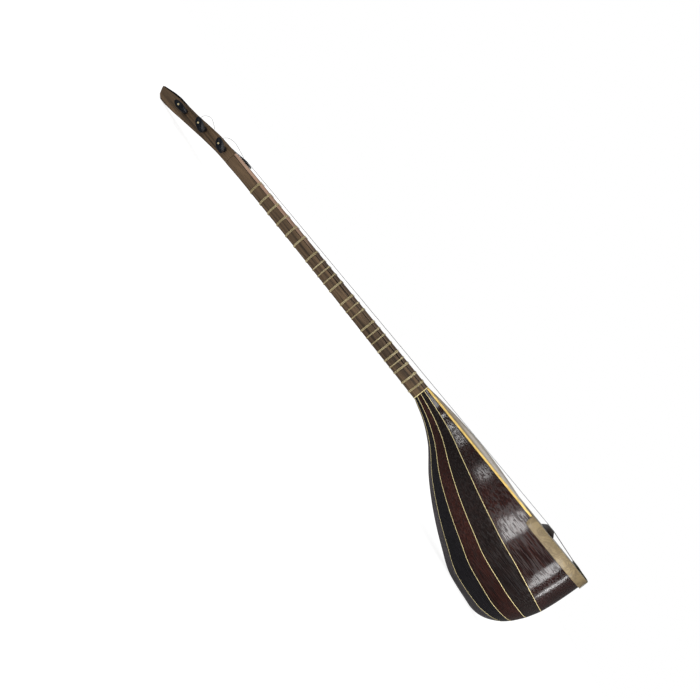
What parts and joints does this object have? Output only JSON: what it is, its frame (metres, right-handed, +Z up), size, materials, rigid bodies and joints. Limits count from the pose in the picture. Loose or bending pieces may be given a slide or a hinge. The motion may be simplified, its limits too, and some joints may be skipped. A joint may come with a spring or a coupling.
{
  "type": "long-necked lute",
  "caption": "Long-necked lute with a deep ribbed bowl, a face half wood and half skin, turning pegs and gut frets that slide along the neck.",
  "frame": {"origin": "middle of the ground under the instrument, which lies face up on its bowl and the back of its head", "axes": "+X along the instrument from head to tail, +Z up, bass side towards -Y"},
  "size_m": [0.886, 0.1822, 0.157],
  "materials": {
    "walnut": "satin oiled walnut",
    "fingerboard": "satin",
    "ebony": "polished black",
    "spruce": "plain",
    "soundboard": "satin",
    "skin": "stretched parchment",
    "binding": "pale edging",
    "bridge": "satin",
    "horn": "horn",
    "rib": "glossy dark red brown",
    "gut": "gut",
    "steel": "wire"
  },
  "bodies": {
    "instrument": {"neck_shaft": "walnut", "fingerboard": "fingerboard", "head": "walnut", "head_cap": "ebony", "nut": "ebony", "neck_block": "spruce", "tail_block": "spruce", "soundboard": "soundboard", "crossbar": "spruce", "skin": "skin", "binding_bass": "binding", "binding_treble": "binding", "bridge": "bridge", "string_holder": "horn", "rib_bass_1": "rib", "rib_bass_2": "rib", "rib_bass_3": "rib", "rib_bass_4": "rib", "rib_bass_5": "rib", "rib_treble_1": "rib", "rib_treble_2": "rib", "rib_treble_3": "rib", "rib_treble_4": "rib", "rib_treble_5": "rib", "rib_middle": "rib", "string_1": "steel", "string_2": "steel", "string_3": "steel", "string_4": "steel", "string_5": "steel", "string_6": "steel"},
    "peg_bass_1_body": {"peg_bass_1": "ebony"},
    "peg_bass_2_body": {"peg_bass_2": "ebony"},
    "peg_bass_3_body": {"peg_bass_3": "ebony"},
    "peg_treble_1_body": {"peg_treble_1": "ebony"},
    "peg_treble_2_body": {"peg_treble_2": "ebony"},
    "peg_treble_3_body": {"peg_treble_3": "ebony"},
    "fret_01_body": {"fret_01": "gut"},
    "fret_02_body": {"fret_02": "gut"},
    "fret_03_body": {"fret_03": "gut"},
    "fret_04_body": {"fret_04": "gut"},
    "fret_05_body": {"fret_05": "gut"},
    "fret_06_body": {"fret_06": "gut"},
    "fret_07_body": {"fret_07": "gut"},
    "fret_08_body": {"fret_08": "gut"},
    "fret_09_body": {"fret_09": "gut"},
    "fret_10_body": {"fret_10": "gut"},
    "fret_11_body": {"fret_11": "gut"},
    "fret_12_body": {"fret_12": "gut"},
    "fret_13_body": {"fret_13": "gut"},
    "fret_14_body": {"fret_14": "gut"},
    "fret_15_body": {"fret_15": "gut"},
    "fret_16_body": {"fret_16": "gut"},
    "fret_17_body": {"fret_17": "gut"},
    "fret_18_body": {"fret_18": "gut"},
    "fret_19_body": {"fret_19": "gut"},
    "fret_20_body": {"fret_20": "gut"},
    "fret_21_body": {"fret_21": "gut"},
    "fret_22_body": {"fret_22": "gut"},
    "fret_23_body": {"fret_23": "gut"}
  },
  "joints": [
    {"name": "peg_bass_1_turn", "type": "hinge", "parent": "instrument", "child": "peg_bass_1_body", "pos_m": [-0.39652, 0, 0.02071], "axis": [0, 1, 0], "continuous": true},
    {"name": "peg_bass_2_turn", "type": "hinge", "parent": "instrument", "child": "peg_bass_2_body", "pos_m": [-0.36153, 0, 0.03048], "axis": [0, 1, 0], "continuous": true},
    {"name": "peg_bass_3_turn", "type": "hinge", "parent": "instrument", "child": "peg_bass_3_body", "pos_m": [-0.32387, 0, 0.03921], "axis": [0, 1, 0], "continuous": true},
    {"name": "peg_treble_1_turn", "type": "hinge", "parent": "instrument", "child": "peg_treble_1_body", "pos_m": [-0.38826, 0, 0.02302], "axis": [0, 1, 0], "continuous": true},
    {"name": "peg_treble_2_turn", "type": "hinge", "parent": "instrument", "child": "peg_treble_2_body", "pos_m": [-0.35322, 0, 0.03241], "axis": [0, 1, 0], "continuous": true},
    {"name": "peg_treble_3_turn", "type": "hinge", "parent": "instrument", "child": "peg_treble_3_body", "pos_m": [-0.31556, 0, 0.04117], "axis": [0, 1, 0], "continuous": true},
    {"name": "fret_01_slide", "type": "slide", "parent": "instrument", "child": "fret_01_body", "axis": [0.9906, 0, 0.1367], "range_m": [-0.003, 0.003]},
    {"name": "fret_02_slide", "type": "slide", "parent": "instrument", "child": "fret_02_body", "axis": [0.9906, 0, 0.1367], "range_m": [-0.003, 0.003]},
    {"name": "fret_03_slide", "type": "slide", "parent": "instrument", "child": "fret_03_body", "axis": [0.9906, 0, 0.1367], "range_m": [-0.003, 0.003]},
    {"name": "fret_04_slide", "type": "slide", "parent": "instrument", "child": "fret_04_body", "axis": [0.9906, 0, 0.1367], "range_m": [-0.003, 0.003]},
    {"name": "fret_05_slide", "type": "slide", "parent": "instrument", "child": "fret_05_body", "axis": [0.9906, 0, 0.1367], "range_m": [-0.003, 0.003]},
    {"name": "fret_06_slide", "type": "slide", "parent": "instrument", "child": "fret_06_body", "axis": [0.9906, 0, 0.1367], "range_m": [-0.003, 0.003]},
    {"name": "fret_07_slide", "type": "slide", "parent": "instrument", "child": "fret_07_body", "axis": [0.9906, 0, 0.1367], "range_m": [-0.003, 0.003]},
    {"name": "fret_08_slide", "type": "slide", "parent": "instrument", "child": "fret_08_body", "axis": [0.9906, 0, 0.1367], "range_m": [-0.003, 0.003]},
    {"name": "fret_09_slide", "type": "slide", "parent": "instrument", "child": "fret_09_body", "axis": [0.9906, 0, 0.1367], "range_m": [-0.003, 0.003]},
    {"name": "fret_10_slide", "type": "slide", "parent": "instrument", "child": "fret_10_body", "axis": [0.9906, 0, 0.1367], "range_m": [-0.003, 0.003]},
    {"name": "fret_11_slide", "type": "slide", "parent": "instrument", "child": "fret_11_body", "axis": [0.9906, 0, 0.1367], "range_m": [-0.003, 0.003]},
    {"name": "fret_12_slide", "type": "slide", "parent": "instrument", "child": "fret_12_body", "axis": [0.9906, 0, 0.1367], "range_m": [-0.003, 0.003]},
    {"name": "fret_13_slide", "type": "slide", "parent": "instrument", "child": "fret_13_body", "axis": [0.9906, 0, 0.1367], "range_m": [-0.003, 0.003]},
    {"name": "fret_14_slide", "type": "slide", "parent": "instrument", "child": "fret_14_body", "axis": [0.9906, 0, 0.1367], "range_m": [-0.003, 0.003]},
    {"name": "fret_15_slide", "type": "slide", "parent": "instrument", "child": "fret_15_body", "axis": [0.9906, 0, 0.1367], "range_m": [-0.003, 0.003]},
    {"name": "fret_16_slide", "type": "slide", "parent": "instrument", "child": "fret_16_body", "axis": [0.9906, 0, 0.1367], "range_m": [-0.003, 0.003]},
    {"name": "fret_17_slide", "type": "slide", "parent": "instrument", "child": "fret_17_body", "axis": [0.9906, 0, 0.1367], "range_m": [-0.003, 0.003]},
    {"name": "fret_18_slide", "type": "slide", "parent": "instrument", "child": "fret_18_body", "axis": [0.9906, 0, 0.1367], "range_m": [-0.003, 0.003]},
    {"name": "fret_19_slide", "type": "slide", "parent": "instrument", "child": "fret_19_body", "axis": [0.9906, 0, 0.1367], "range_m": [-0.003, 0.003]},
    {"name": "fret_20_slide", "type": "slide", "parent": "instrument", "child": "fret_20_body", "axis": [0.9906, 0, 0.1367], "range_m": [-0.003, 0.003]},
    {"name": "fret_21_slide", "type": "slide", "parent": "instrument", "child": "fret_21_body", "axis": [0.9906, 0, 0.1367], "range_m": [-0.003, 0.003]},
    {"name": "fret_22_slide", "type": "slide", "parent": "instrument", "child": "fret_22_body", "axis": [0.9906, 0, 0.1367], "range_m": [-0.003, 0.003]},
    {"name": "fret_23_slide", "type": "slide", "parent": "instrument", "child": "fret_23_body", "axis": [0.9906, 0, 0.1367], "range_m": [-0.003, 0.003]}
  ]
}
